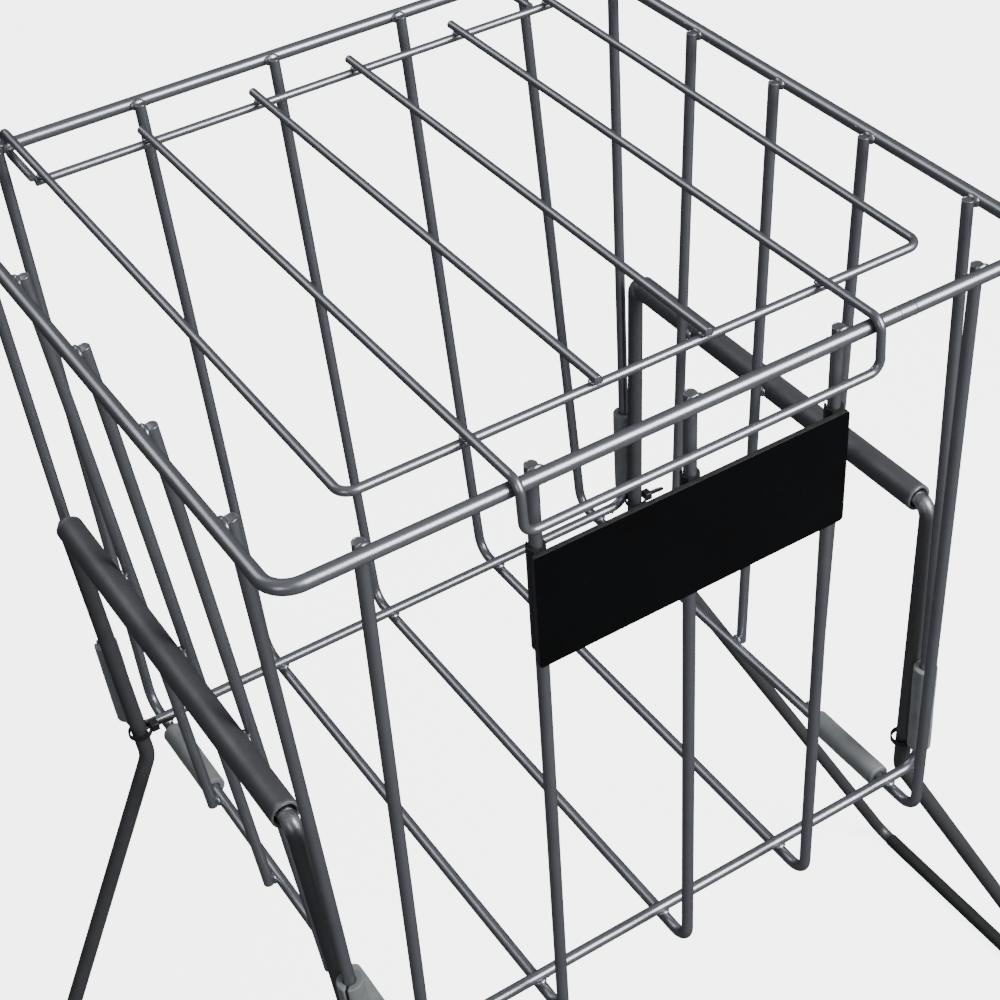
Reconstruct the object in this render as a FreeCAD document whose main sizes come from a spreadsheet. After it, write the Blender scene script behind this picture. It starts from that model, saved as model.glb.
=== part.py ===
# Tennis ball hopper: a welded wire basket with a hinged wire lid and two leg frames that swing up as handles.
# Frame: millimetres, +Z up, origin on the floor under the middle of the basket.
# X runs along the front face, Y from the front face to the back, where the lid hangs on the rim.
import FreeCAD, Part
import math
import os
import re
import Sketcher

doc = FreeCAD.newDocument("BallHopper")

# Driving dimensions, in millimetres. Wires are given by their diameter, bends by their centre-line radius.
sizes = {
    # Basket
    "rimDepth": 322.0,        # rim centre line to centre line along Y
    "rimWire": 5.6,
    "rimCorner": 10.0,
    "basketHeight": 301.0,    # rim centre line down to the floor runs
    "basketWire": 5.0,
    "hoopPitch": 63.5,        # floor runs, narrow enough that a ball has to be squeezed through
    "sideFlare": 32.5,        # rim centre line beyond the outer floor runs along X
    "sidePitch": 58.5,
    "postSetback": 41.0,      # cross hoops, in from the front and back of the rim
    "hoopLean": 17.0,         # how far the front and back draw in from rim to floor
    "postLean": 10.0,
    "wireBend": 10.0,
    "wireStand": 1.2,         # cut wire ends above the rim's centre line
    "wireHang": 1.0,          # cut side wire ends below the floor run's centre line
    "weldGap": 0.15,          # between two wires that a weld joins
    # Pivot tubes and leg frames
    "tubeSetback": 16.2,      # tube end, in from the cross hoops
    "tubeWidth": 12.2,
    "tubeBore": 9.6,
    "legRod": 7.6,
    "legBend": 6.6,
    "kneeBelow": 4.0,         # knee below the floor runs, with the leg down
    "kneeShort": 1.0,         # knee below the rim's centre line, with the leg up
    "kneeInset": 8.9,
    "kneeBend": 16.0,
    "footDrop": 517.0,        # pivot down to the foot bar
    "footReach": 175.1,       # pivot out to the foot bar
    "footBend": 10.0,
    "footSleeveWidth": 8.7,
    "footSleeveGap": 0.5,     # sleeve end, in from the foot bar's bend
    "footFlat": 0.25,         # depth of the flat sole along a foot sleeve
    "sleeveFit": 0.05,        # radial gap of a sleeve pushed on a wire
    # Lid
    "lidWire": 3.6,
    "lidSideGap": 39.2,       # lid frame, in from the sides of the rim
    "lidFrontGap": 29.0,      # front rod, in from the front of the rim
    "lidBackGap": 38.0,       # back rod, in from the back of the rim
    "lidDip": 3.8,            # the lid frame falls this much from hinge to front rod
    "lidCorner": 5.5,
    "lidOverhang": 5.5,
    "rodOverhang": 3.0,
    "barPitch": 46.0,
    "hookGap": 0.4,           # lid hook to rim
    "hookReturn": 23.0,
    "latchWidth": 148.0,
    "latchDrop": 16.0,
    "latchGap": 0.4,          # latch loop to the front of the rim
    "latchBend": 5.0,
    "restGap": 0.3,           # latch wires above the front rim
    # Plate and its clips
    "plateMargin": 0.2,       # beyond the outer clips
    "plateHeight": 52.7,
    "plateThickness": 2.0,
    "plateDrop": 35.2,        # rim centre line down to the plate's upper edge
    "plateCorner": 1.0,
    "clipWidth": 7.2,
    "clipLength": 48.0,
    "clipRise": 1.4,          # clip ends above the plate
    "clipMouth": 3.4,
    "clipFit": 0.1,
    # Plastic sleeves on the wires, and cable ties
    "sleeveWidth": 11.0,
    "postSleeveLength": 48.0,
    "postSleeveLift": 40.5,   # floor runs up to the sleeve's middle
    "runSleeveLength": 46.0,
    "runSleeveSetback": 30.0, # sleeve's middle, in from the cross hoops
    "sleeveSlit": 1.0,
    "tieLift": 16.0,          # tie above the knee
    "tieStrap": 2.6,
    "tieWall": 0.9,
    "tieSlack": 1.0,
    "tieHeadWidth": 5.2,
    "tieHeadDepth": 4.0,
    "tieHeadHeight": 4.4,
    "tieTail": 9.0,
    "cutSpare": 1.0,          # overrun of every cut
}

hoopCount = 5
sideCount = 3

sheet = doc.addObject("Spreadsheet::Sheet", "Sizes")
for row, (alias, value) in enumerate(sizes.items(), 1):
    sheet.set(f"A{row}", alias)
    sheet.set(f"B{row}", str(value))
    sheet.setAlias(f"B{row}", alias)
doc.recompute()

# Derived sizes, as formulas of the sheet's values.
derived = {
    "footLevel": "footSleeveWidth / 2 - footFlat",
    "outerRun": f"hoopPitch * {(hoopCount - 1) / 2}",
    "rimWidth": "2 * (outerRun + sideFlare)",
    "tubeDrop": "(basketHeight + kneeBelow + kneeShort) / 2",
    "kneeDrop": "tubeDrop - kneeShort",
    "rimLevel": "footLevel + footDrop + tubeDrop",
    "wireTopX": "rimWidth / 2 - rimWire / 2 - weldGap - basketWire / 2",
    "wireTopY": "rimDepth / 2 - rimWire / 2 - weldGap - basketWire / 2",
    "wireStep": "basketWire + weldGap",
    "hoopFoot": "wireTopY - hoopLean",
    "hoopSlope": "hoopLean / basketHeight",
    "postFoot": "wireTopX - postLean",
    "postSlope": "postLean / (basketHeight - wireStep)",
    "postReach": "rimDepth / 2 - postSetback",
    "postSleeveDrop": "basketHeight - postSleeveLift",
    "runSleeveReach": "postReach - runSleeveSetback",
    "sideFoot": "outerRun + wireStep",
    "sideSlope": "(wireTopX - sideFoot) / basketHeight",
    "tubeLength": "2 * (postReach - tubeSetback)",
    "pivotX": "wireTopX - sideSlope * tubeDrop + basketWire / 2 + weldGap + tubeWidth / 2",
    "pivotLevel": "rimLevel - tubeDrop",
    "armY": "tubeLength / 2 + legBend",
    "footSleeveLength": "2 * (armY - footBend - footSleeveGap)",
    "lidWidth": "rimWidth - 2 * lidSideGap",
    "lidFront": "rimDepth / 2 - lidFrontGap",
    "lidBackRod": "rimDepth / 2 - lidBackGap",
    "hookRadius": "rimWire / 2 + hookGap + lidWire / 2",
    "lidStep": "lidWire + weldGap",
    "latchLevel": "rimWire / 2 + restGap + lidWire / 2",
    "latchY": "rimDepth / 2 + rimWire / 2 + latchGap + lidWire / 2",
    "plateWidth": "2 * hoopPitch + clipWidth + 2 * plateMargin",
}


def formula(text):
    """Text of an expression whose words are replaced by the cells or formulas they name."""
    def cell(match):
        word = match.group()
        if word in sizes:
            return "Sizes." + word
        if word in derived:
            return "(" + formula(derived[word]) + ")"
        return word
    return re.sub(r"[a-zA-Z]+", cell, text)


def size(text):
    return float(sheet.evalExpression(formula(text)))


def bind(item, prop, text):
    item.setExpression(prop, formula(text))


pieces = []


def piece(item, name):
    item.Label = name
    pieces.append(item)
    return item


def place(item, x="0", y="0", z="0"):
    for axis, text in zip("xyz", (x, y, z)):
        bind(item, f"Placement.Base.{axis}", text)


# Bent wire paths

def rounded(points, radii):
    """Lines and arcs of a path through corner points, each inner corner rounded by its radius."""
    runs, start = [], points[0]
    for before, corner, after, radius in zip(points, points[1:], points[2:], radii):
        back = (before - corner).normalize()
        ahead = (after - corner).normalize()
        half = back.getAngle(ahead) / 2
        leg = radius / math.tan(half)
        first, last = corner + back * leg, corner + ahead * leg
        centre = corner + (back + ahead).normalize() * (radius / math.sin(half))
        middle = centre + (corner - centre).normalize() * radius
        runs.append(("line", start, first))
        runs.append(("arc", first, middle, last, centre))
        start = last
    runs.append(("line", start, points[-1]))
    return runs


def plane(body, role):
    return next(item for item in body.Origin.OriginFeatures if item.Role == role)


def sketch_on(body, role, name):
    sketch = body.newObject("Sketcher::SketchObject", name)
    sketch.AttachmentSupport = [(plane(body, role), "")]
    sketch.MapMode = "FlatFace"
    return sketch


def constrain(sketch, kind, *rest, text=None):
    index = sketch.addConstraint(Sketcher.Constraint(kind, *rest))
    if text is not None:
        bind(sketch, f"Constraints[{index}]", text)
    return index


def pin(sketch, element, end, across, up):
    """Fix one point of a sketch at two formulas."""
    for kind, text in (("DistanceX", across), ("DistanceY", up)):
        if text == "0":
            constrain(sketch, "PointOnObject", element, end, -2 if kind == "DistanceX" else -1)
        else:
            constrain(sketch, kind, -1, 1, element, end, size(text), text=text)


def path_sketch(body, role, corners, radii, name):
    """A sketched path through corners given as pairs of formulas, with tangent arcs in its bends."""
    sketch = sketch_on(body, role, name)
    points = [FreeCAD.Vector(size(across), size(up), 0) for across, up in corners]
    runs = rounded(points, [size(text) for text in radii])
    marks = []
    for point, corner in list(zip(points, corners))[1:-1]:
        mark = sketch.addGeometry(Part.Point(point), True)
        pin(sketch, mark, 1, *corner)
        marks.append(mark)
    lines, arcs = [], []
    for run in runs:
        if run[0] == "line":
            lines.append(sketch.addGeometry(Part.LineSegment(run[1], run[2]), False))
        else:
            arcs.append(sketch.addGeometry(Part.Arc(run[1], run[2], run[3]), False))
    pin(sketch, lines[0], 1, *corners[0])
    pin(sketch, lines[-1], 2, *corners[-1])
    for place_in_row, (arc, text) in enumerate(zip(arcs, radii)):
        run = runs[2 * place_in_row + 1]
        starts_here = sketch.Geometry[arc].StartPoint.distanceToPoint(run[1]) < \
            sketch.Geometry[arc].StartPoint.distanceToPoint(run[3])
        near, far = (1, 2) if starts_here else (2, 1)
        constrain(sketch, "Tangent", lines[place_in_row], 2, arc, near)
        constrain(sketch, "Tangent", arc, far, lines[place_in_row + 1], 1)
        constrain(sketch, "Radius", arc, size(text), text=text)
        constrain(sketch, "PointOnObject", marks[place_in_row], 1, lines[place_in_row])
        constrain(sketch, "PointOnObject", marks[place_in_row], 1, lines[place_in_row + 1])
    return sketch


def circle_sketch(body, role, across, up, diameters, name):
    """Concentric circles about one point, given by their diameters."""
    sketch = sketch_on(body, role, name)
    centre = FreeCAD.Vector(size(across), size(up), 0)
    rings = []
    for text in diameters:
        ring = sketch.addGeometry(Part.Circle(centre, FreeCAD.Vector(0, 0, 1), size(text) / 2), False)
        constrain(sketch, "Diameter", ring, size(text), text=text)
        rings.append(ring)
    pin(sketch, rings[0], 3, across, up)
    for ring in rings[1:]:
        constrain(sketch, "Coincident", rings[0], 3, ring, 3)
    return sketch


def half_wire(name, path_role, corners, radii, cut_role, cut_at, wire):
    """A symmetric bent wire: half of it swept from its middle, and mirrored there."""
    body = doc.addObject("PartDesign::Body", name)
    profile = circle_sketch(body, cut_role, *cut_at, [wire], name + "_section")
    path = path_sketch(body, path_role, corners, radii, name + "_path")
    doc.recompute()
    sweep = body.newObject("PartDesign::AdditivePipe", name + "_sweep")
    sweep.Profile = profile
    sweep.Spine = (path, [f"Edge{number}" for number in range(1, 2 * len(radii) + 2)])
    body.Tip = sweep
    doc.recompute()
    mirror = body.newObject("PartDesign::Mirrored", name + "_other_half")
    mirror.Originals = [sweep]
    mirror.MirrorPlane = (plane(body, cut_role), [""])
    body.Tip = mirror
    return piece(body, name)


def straight_wire(name, wire, start, end):
    """A straight cut wire between two points given by formulas."""
    rod = doc.addObject("Part::Cylinder", name)
    spans = [f"({b}) - ({a})" for a, b in zip(start, end)]
    along = " + ".join(f"({span}) * ({span})" for span in spans)
    bind(rod, "Radius", f"{wire} / 2")
    bind(rod, "Height", f"sqrt({along})")
    place(rod, *start)
    flat = f"sqrt(({spans[0]}) * ({spans[0]}) + ({spans[1]}) * ({spans[1]}))"
    heading = FreeCAD.Vector(-size(spans[1]), size(spans[0]), 0)
    rod.Placement.Rotation = FreeCAD.Rotation(heading, 1)
    bind(rod, "Placement.Rotation.Angle", f"atan2({flat}; {spans[2]})")
    return piece(rod, name)


def bent_wire(name, wire, edges, mirror_normal, base):
    """A bent wire in space: half of it swept along its edges, and mirrored at its middle."""
    path = Part.Wire(edges)
    start = edges[0].valueAt(edges[0].FirstParameter)
    heading = edges[0].tangentAt(edges[0].FirstParameter)
    section = Part.Wire(Part.makeCircle(size(wire) / 2, start, heading))
    half = path.makePipeShell([section], True, False)
    other = half.mirror(start, mirror_normal)
    body = doc.addObject("Part::Feature", name)
    body.Shape = half.fuse(other).removeSplitter().Solids[0]
    place(body, *base)
    return piece(body, name)


def edges_of(runs):
    made = []
    for run in runs:
        if run[0] == "line":
            made.append(Part.LineSegment(run[1], run[2]).toShape())
        else:
            made.append(Part.Arc(run[1], run[2], run[3]).toShape())
    return made


def point(x, y, z):
    return FreeCAD.Vector(size(x), size(y), size(z))


# Basket

def top_rim():
    body = half_wire(
        "top_rim", "XY_Plane",
        [("0", "-rimDepth / 2"), ("rimWidth / 2", "-rimDepth / 2"),
         ("rimWidth / 2", "rimDepth / 2"), ("0", "rimDepth / 2")],
        ["rimCorner", "rimCorner"], "YZ_Plane", ("-rimDepth / 2", "0"), "rimWire")
    place(body, z="rimLevel")


def floor_hoop(number):
    """Down the front, under the basket and up the back: the balls are squeezed in between these."""
    body = half_wire(
        f"floor_hoop_{number + 1}", "YZ_Plane",
        [("0", "-basketHeight"), ("hoopFoot", "-basketHeight"),
         ("wireTopY + hoopSlope * wireStand", "wireStand")],
        ["wireBend"], "XZ_Plane", ("0", "-basketHeight"), "basketWire")
    place(body, x=f"hoopPitch * {number - (hoopCount - 1) / 2}", z="rimLevel")


def cross_hoop(name, side):
    """Down one side, across on top of the floor runs and up the other side."""
    body = half_wire(
        name, "XZ_Plane",
        [("0", "wireStep - basketHeight"), ("postFoot", "wireStep - basketHeight"),
         ("wireTopX + postSlope * wireStand", "wireStand")],
        ["wireBend"], "YZ_Plane", ("0", "wireStep - basketHeight"), "basketWire")
    place(body, y=f"{side} * postReach", z="rimLevel")


def side_wire(name, side, number):
    along = f"sidePitch * {(sideCount - 1) / 2 - number}"
    straight_wire(
        name, "basketWire",
        (f"{side} * (sideFoot - sideSlope * wireHang)", along, "rimLevel - basketHeight - wireHang"),
        (f"{side} * (wireTopX + sideSlope * wireStand)", along, "rimLevel + wireStand"))


def pivot_tube(name, side):
    body = doc.addObject("PartDesign::Body", name)
    profile = circle_sketch(body, "XZ_Plane", "0", "0", ["tubeWidth", "tubeBore"], name + "_section")
    pad = body.newObject("PartDesign::Pad", name + "_pad")
    pad.Profile = profile
    bind(pad, "Length", "tubeLength")
    pad.Midplane = True
    place(body, x=f"{side} * pivotX", z="pivotLevel")
    piece(body, name)


# Sleeves

def split_sleeve(name, length, slit_turn, tilt_axis, tilt, base):
    """A plastic tube pushed over a wire through its slit."""
    outer = doc.addObject("Part::Cylinder", name + "_outer")
    bore = doc.addObject("Part::Cylinder", name + "_bore")
    slit = doc.addObject("Part::Box", name + "_slit")
    bind(outer, "Radius", "sleeveWidth / 2")
    bind(bore, "Radius", "basketWire / 2 + sleeveFit")
    bind(outer, "Height", length)
    for tool in (bore, slit):
        bind(tool, "Height", f"{length} + 2 * cutSpare")
        bind(tool, "Placement.Base.z", "-cutSpare")
    bind(slit, "Length", "sleeveWidth")
    bind(slit, "Width", "sleeveSlit")
    turn = math.radians(slit_turn)
    slit.Placement.Rotation = FreeCAD.Rotation(FreeCAD.Vector(0, 0, 1), slit_turn)
    bind(slit, "Placement.Base.x", f"sleeveSlit / 2 * {math.sin(turn)}")
    bind(slit, "Placement.Base.y", f"-sleeveSlit / 2 * {math.cos(turn)}")
    hollow = doc.addObject("Part::Cut", name + "_tube")
    hollow.Base, hollow.Tool = outer, bore
    sleeve = doc.addObject("Part::Cut", name)
    sleeve.Base, sleeve.Tool = hollow, slit
    place(sleeve, *base)
    sleeve.Placement.Rotation = FreeCAD.Rotation(tilt_axis, 1)
    bind(sleeve, "Placement.Rotation.Angle", tilt)
    return piece(sleeve, name)


def post_sleeve(name, side_x, side_y):
    """Half a post's height up the lean of a cross hoop, just above its bend."""
    down = "(postSleeveDrop + postSleeveLength / 2)"
    outward = math.degrees(math.atan2(side_y, side_x))
    split_sleeve(
        name, "postSleeveLength", outward, FreeCAD.Vector(0, side_x, 0), "atan(postSlope)",
        (f"{side_x} * (wireTopX - {down} * postSlope)", f"{side_y} * postReach", f"rimLevel - {down}"))


def run_sleeve(name, side_x, side_y):
    """Along an outer floor run, between a cross hoop and the nearest side wire, with its slit below."""
    split_sleeve(
        name, "runSleeveLength", -90, FreeCAD.Vector(1, 0, 0), "90",
        (f"{side_x} * outerRun", f"{side_y} * runSleeveReach + runSleeveLength / 2",
         "rimLevel - basketHeight"))


# Plate and clips, on the lean of the front wires

def on_front(across, down, out):
    """A place down the front wires from the rim, and out from their axes."""
    return (across,
            f"-(wireTopY - ({down}) * hoopSlope) - ({out}) * cos(atan(hoopSlope))",
            f"rimLevel - ({down}) - ({out}) * sin(atan(hoopSlope))")


def lean_with_front(item):
    item.Placement.Rotation = FreeCAD.Rotation(FreeCAD.Vector(1, 0, 0), 1)
    bind(item, "Placement.Rotation.Angle", "atan(hoopSlope)")


def front_plate():
    body = doc.addObject("PartDesign::Body", "front_plate")
    sketch = sketch_on(body, "XZ_Plane", "front_plate_outline")
    wide, tall = size("plateWidth / 2"), size("plateHeight")
    corners = [FreeCAD.Vector(x, y, 0) for x, y in ((-wide, -tall), (wide, -tall), (wide, 0), (-wide, 0))]
    sides = [sketch.addGeometry(Part.LineSegment(a, b), False)
             for a, b in zip(corners, corners[1:] + corners[:1])]
    for side, following in zip(sides, sides[1:] + sides[:1]):
        constrain(sketch, "Coincident", side, 2, following, 1)
    for side, kind in ((sides[0], "Horizontal"), (sides[1], "Vertical"), (sides[3], "Vertical")):
        constrain(sketch, kind, side)
    constrain(sketch, "PointOnObject", sides[2], 1, -1)
    constrain(sketch, "Symmetric", sides[2], 1, sides[2], 2, -2)
    constrain(sketch, "DistanceX", sides[0], 1, sides[0], 2, 2 * wide, text="plateWidth")
    constrain(sketch, "DistanceY", sides[1], 1, sides[1], 2, tall, text="plateHeight")
    pad = body.newObject("PartDesign::Pad", "front_plate_pad")
    pad.Profile = sketch
    bind(pad, "Length", "plateThickness")
    doc.recompute()
    corner_edges = [f"Edge{number}" for number, edge in enumerate(pad.Shape.Edges, 1)
                    if abs(edge.tangentAt(edge.FirstParameter).y) > 0.9]
    fillet = body.newObject("PartDesign::Fillet", "front_plate_corners")
    fillet.Base = (pad, corner_edges)
    bind(fillet, "Radius", "plateCorner")
    body.Tip = fillet
    place(body, *on_front("0", "plateDrop", "basketWire / 2 + clipFit + weldGap"))
    lean_with_front(body)
    piece(body, "front_plate")


def plate_clip(name, number):
    """A snap clip behind the plate: a split ring that grips a front wire, open towards the balls."""
    ring = doc.addObject("Part::Cylinder", name + "_ring")
    bore = doc.addObject("Part::Cylinder", name + "_bore")
    mouth = doc.addObject("Part::Box", name + "_mouth")
    face = doc.addObject("Part::Box", name + "_face")
    bind(ring, "Radius", "clipWidth / 2")
    bind(bore, "Radius", "basketWire / 2 + clipFit")
    bind(ring, "Height", "clipLength")
    for tool in (bore, mouth, face):
        bind(tool, "Height", "clipLength + 2 * cutSpare")
        bind(tool, "Placement.Base.z", "-cutSpare")
    bind(mouth, "Length", "clipMouth")
    bind(mouth, "Width", "clipWidth")
    bind(mouth, "Placement.Base.x", "-clipMouth / 2")
    bind(face, "Length", "clipWidth + 2 * cutSpare")
    bind(face, "Width", "clipWidth")
    bind(face, "Placement.Base.x", "-clipWidth / 2 - cutSpare")
    bind(face, "Placement.Base.y", "-clipWidth - basketWire / 2 - clipFit - weldGap / 2")
    shape = ring
    for count, tool in enumerate((bore, mouth, face), 1):
        cut = doc.addObject("Part::Cut", name if tool is face else f"{name}_cut_{count}")
        cut.Base, cut.Tool = shape, tool
        shape = cut
    place(shape, *on_front(f"hoopPitch * {number}", "plateDrop - clipRise + clipLength", "0"))
    lean_with_front(shape)
    piece(shape, name)


# Lid, built about the back rim's centre line

def lid_frame():
    """Front rod, side wires and hooks in one bent wire."""
    hinge = point("lidWidth / 2", "rimDepth / 2", "0")
    corner = point("lidWidth / 2", "-lidFront", "hookRadius - lidDip")
    middle = point("0", "-lidFront", "hookRadius - lidDip")
    radius = size("hookRadius")
    reach = corner - hinge
    turn = math.atan2(reach.z, reach.y) - math.acos(radius / reach.Length)

    def on_hook(angle):
        return hinge + FreeCAD.Vector(0, math.cos(angle), math.sin(angle)) * radius
    leave, back = on_hook(turn), on_hook(turn - math.pi / 2)
    under = on_hook(turn - math.pi)
    ahead = (corner - leave).normalize()
    runs = rounded([middle, corner, leave], [size("lidCorner")])
    runs.append(("arc", leave, back, under, hinge))
    runs.append(("line", under, under + ahead * size("hookReturn")))
    bent_wire("lid_frame", "lidWire", edges_of(runs), FreeCAD.Vector(1, 0, 0), ("0", "0", "rimLevel"))


lidFall = "lidDip / (lidFront + rimDepth / 2)"
barBack = "(rimLevel + hookRadius - (rimDepth / 2 - lidBackRod) * " + lidFall + ")"
barFront = "(rimLevel + hookRadius - lidDip + lidStep)"


def lid_back_rod():
    """Lies under the side wires and the bars."""
    level = f"{barBack} - lidStep"
    straight_wire("lid_back_rod", "lidWire",
                  ("-lidWidth / 2 - rodOverhang", "lidBackRod", level),
                  ("lidWidth / 2 + rodOverhang", "lidBackRod", level))


def lid_bar(name, side):
    """Lies on the back rod and on the front rod."""
    straight_wire(name, "lidWire",
                  (f"{side} * barPitch / 2", "-lidFront - rodOverhang", barFront),
                  (f"{side} * barPitch / 2", "lidBackRod + lidOverhang", barBack))


def latch_loop():
    """Two long wires over both lid rods and the front rim, joined by a bar that hangs before the rim."""
    points = [point("0", "-latchY", "-latchDrop"), point("latchWidth / 2", "-latchY", "-latchDrop"),
              point("latchWidth / 2", "-latchY", "latchLevel"),
              point("latchWidth / 2", "lidBackRod + lidOverhang", barBack + " - rimLevel")]
    runs = rounded(points, [size("latchBend"), size("latchBend")])
    bent_wire("latch_loop", "lidWire", edges_of(runs), FreeCAD.Vector(1, 0, 0), ("0", "0", "rimLevel"))


# Leg frames

def leg_frame(name, side):
    """One rod through the pivot tube, down beside two posts, out to the floor and along it."""
    knee_x = "pivotX - kneeInset"
    foot_x = "pivotX + footReach"
    points = [point(f"{side} * pivotX", "0", "0"), point(f"{side} * pivotX", "armY", "0"),
              point(f"{side} * ({knee_x})", "armY", "-kneeDrop"),
              point(f"{side} * ({foot_x})", "armY", "-footDrop"),
              point(f"{side} * ({foot_x})", "0", "-footDrop")]
    runs = rounded(points, [size("legBend"), size("kneeBend"), size("footBend")])
    bent_wire(name, "legRod", edges_of(runs), FreeCAD.Vector(0, 1, 0), ("0", "0", "pivotLevel"))


def foot_sleeve(name, side):
    """A thin vinyl sleeve along a foot bar, from bend to bend, with a flat sole that it stands on."""
    outer = doc.addObject("Part::Cylinder", name + "_outer")
    bore = doc.addObject("Part::Cylinder", name + "_bore")
    sole = doc.addObject("Part::Box", name + "_sole")
    bind(outer, "Radius", "footSleeveWidth / 2")
    bind(bore, "Radius", "legRod / 2 + sleeveFit")
    bind(outer, "Height", "footSleeveLength")
    for tool in (bore, sole):
        bind(tool, "Height", "footSleeveLength + 2 * cutSpare")
        bind(tool, "Placement.Base.z", "-cutSpare")
    bind(sole, "Length", "footSleeveWidth")
    bind(sole, "Width", "footSleeveWidth")
    bind(sole, "Placement.Base.x", "-footSleeveWidth / 2")
    bind(sole, "Placement.Base.y", "-footLevel - footSleeveWidth")
    hollow = doc.addObject("Part::Cut", name + "_tube")
    hollow.Base, hollow.Tool = outer, bore
    sleeve = doc.addObject("Part::Cut", name)
    sleeve.Base, sleeve.Tool = hollow, sole
    sleeve.Placement.Rotation = FreeCAD.Rotation(FreeCAD.Vector(1, 0, 0), 90)
    place(sleeve, f"{side} * (pivotX + footReach)", "footSleeveLength / 2", "footLevel")
    piece(sleeve, name)


def cable_tie(name, side_x, side_y):
    """A loose nylon strap round a leg arm, just above the knee, with its head and cut tail."""
    strap = doc.addObject("Part::Cylinder", name + "_strap")
    opening = doc.addObject("Part::Cylinder", name + "_opening")
    head = doc.addObject("Part::Box", name + "_head")
    tail = doc.addObject("Part::Box", name + "_tail")
    inner = "(legRod / 2 + tieSlack)"
    bind(strap, "Radius", f"{inner} + tieWall")
    bind(opening, "Radius", inner)
    bind(strap, "Height", "tieStrap")
    bind(opening, "Height", "tieStrap + 2 * cutSpare")
    bind(opening, "Placement.Base.z", "-cutSpare")
    bind(head, "Length", "tieHeadDepth")
    bind(head, "Width", "tieHeadWidth")
    bind(head, "Height", "tieHeadHeight")
    place(head, f"{inner} + tieWall / 2", "-tieHeadWidth / 2", "(tieStrap - tieHeadHeight) / 2")
    bind(tail, "Length", "tieTail")
    bind(tail, "Width", "tieWall")
    bind(tail, "Height", "tieStrap")
    place(tail, f"{inner} + tieHeadDepth", "-tieWall / 2", "0")
    solid = doc.addObject("Part::MultiFuse", name + "_band")
    solid.Shapes = [strap, head, tail]
    tie = doc.addObject("Part::Cut", name)
    tie.Base, tie.Tool = solid, opening
    place(tie, f"{side_x} * (pivotX - kneeInset * (kneeDrop - tieLift) / kneeDrop)",
          f"{side_y} * (armY + sleeveFit - tieSlack)", "pivotLevel - kneeDrop + tieLift")
    piece(tie, name)


top_rim()
for number in range(hoopCount):
    floor_hoop(number)
cross_hoop("cross_hoop_front", -1)
cross_hoop("cross_hoop_back", 1)
for word, side in (("left", -1), ("right", 1)):
    for number in range(sideCount):
        side_wire(f"side_wire_{word}_{number + 1}", side, number)
    pivot_tube(f"pivot_tube_{word}", side)
    leg_frame(f"leg_frame_{word}", side)
    foot_sleeve(f"foot_sleeve_{word}", side)
    for end_word, end in (("front", -1), ("back", 1)):
        post_sleeve(f"post_sleeve_{word}_{end_word}", side, end)
        run_sleeve(f"run_sleeve_{word}_{end_word}", side, end)
        cable_tie(f"cable_tie_{word}_{end_word}", side, end)
front_plate()
for number, word in ((-1, "left"), (0, "middle"), (1, "right")):
    plate_clip(f"plate_clip_{word}", number)
lid_frame()
lid_back_rod()
lid_bar("lid_bar_left", -1)
lid_bar("lid_bar_right", 1)
latch_loop()

doc.recompute()

faults = [f"{item.Name}: {item.State}" for item in doc.Objects
          if any(word in item.State for word in ("Invalid", "Error"))]
for item in pieces:
    shape = item.Shape
    if shape.isNull() or not shape.isValid() or len(shape.Solids) != 1:
        faults.append(f"{item.Label}: not one valid solid")
if faults:
    raise SystemExit("\n".join(faults))

os.makedirs("parts", exist_ok=True)
for item in pieces:
    item.Shape.exportStep(f"parts/{item.Label}.step")
    print(item.Label, round(item.Shape.Volume), "mm3")
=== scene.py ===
import math
import random

import bmesh
import bpy
from mathutils import Matrix, Vector, noise


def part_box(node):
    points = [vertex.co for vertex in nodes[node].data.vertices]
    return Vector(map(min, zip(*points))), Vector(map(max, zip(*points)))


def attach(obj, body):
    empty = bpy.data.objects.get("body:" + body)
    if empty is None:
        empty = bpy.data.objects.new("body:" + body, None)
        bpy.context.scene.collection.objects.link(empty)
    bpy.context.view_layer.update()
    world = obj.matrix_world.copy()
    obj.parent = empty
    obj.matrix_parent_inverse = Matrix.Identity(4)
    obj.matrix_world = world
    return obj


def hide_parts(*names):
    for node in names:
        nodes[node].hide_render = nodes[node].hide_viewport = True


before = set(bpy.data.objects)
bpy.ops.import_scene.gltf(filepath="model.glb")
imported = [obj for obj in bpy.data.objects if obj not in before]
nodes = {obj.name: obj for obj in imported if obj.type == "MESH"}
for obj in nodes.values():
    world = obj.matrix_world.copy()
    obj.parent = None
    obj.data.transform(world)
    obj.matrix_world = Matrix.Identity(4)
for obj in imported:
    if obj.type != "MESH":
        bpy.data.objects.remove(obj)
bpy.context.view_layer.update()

scene = bpy.context.scene
across, ahead, upright = Vector((1, 0, 0)), Vector((0, 1, 0)), Vector((0, 0, 1))
leftRight = (("left", -1), ("right", 1))
frontBack = (("front", -1), ("back", 1))
hoops = [f"floor_hoop_{number}" for number in range(1, 6)]
crossHoops = ["cross_hoop_front", "cross_hoop_back"]
tubeNodes = ["pivot_tube_left", "pivot_tube_right"]
legNodes = ["leg_frame_left", "leg_frame_right"]
wireNodes = [name for name in nodes if name.startswith(
    ("top_rim", "floor_hoop", "cross_hoop", "side_wire", "lid_", "latch_loop"))]
clipNodes = [name for name in nodes if name.startswith("plate_clip")]


# Every place comes from the boxes of the CAD nodes
def middleOf(name):
    low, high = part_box(name)
    return (low + high) / 2


# Camera, floor and light

cameraSet = {
    "place": (-0.3224, -0.6263, 1.0936),
    # degrees
    "azimuth": -31.0216,
    "elevation": 38.3746,
    "roll": -4.1349,
    "lens": 75.7,
    "shift": (-0.0957, -0.0235),
}


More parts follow.
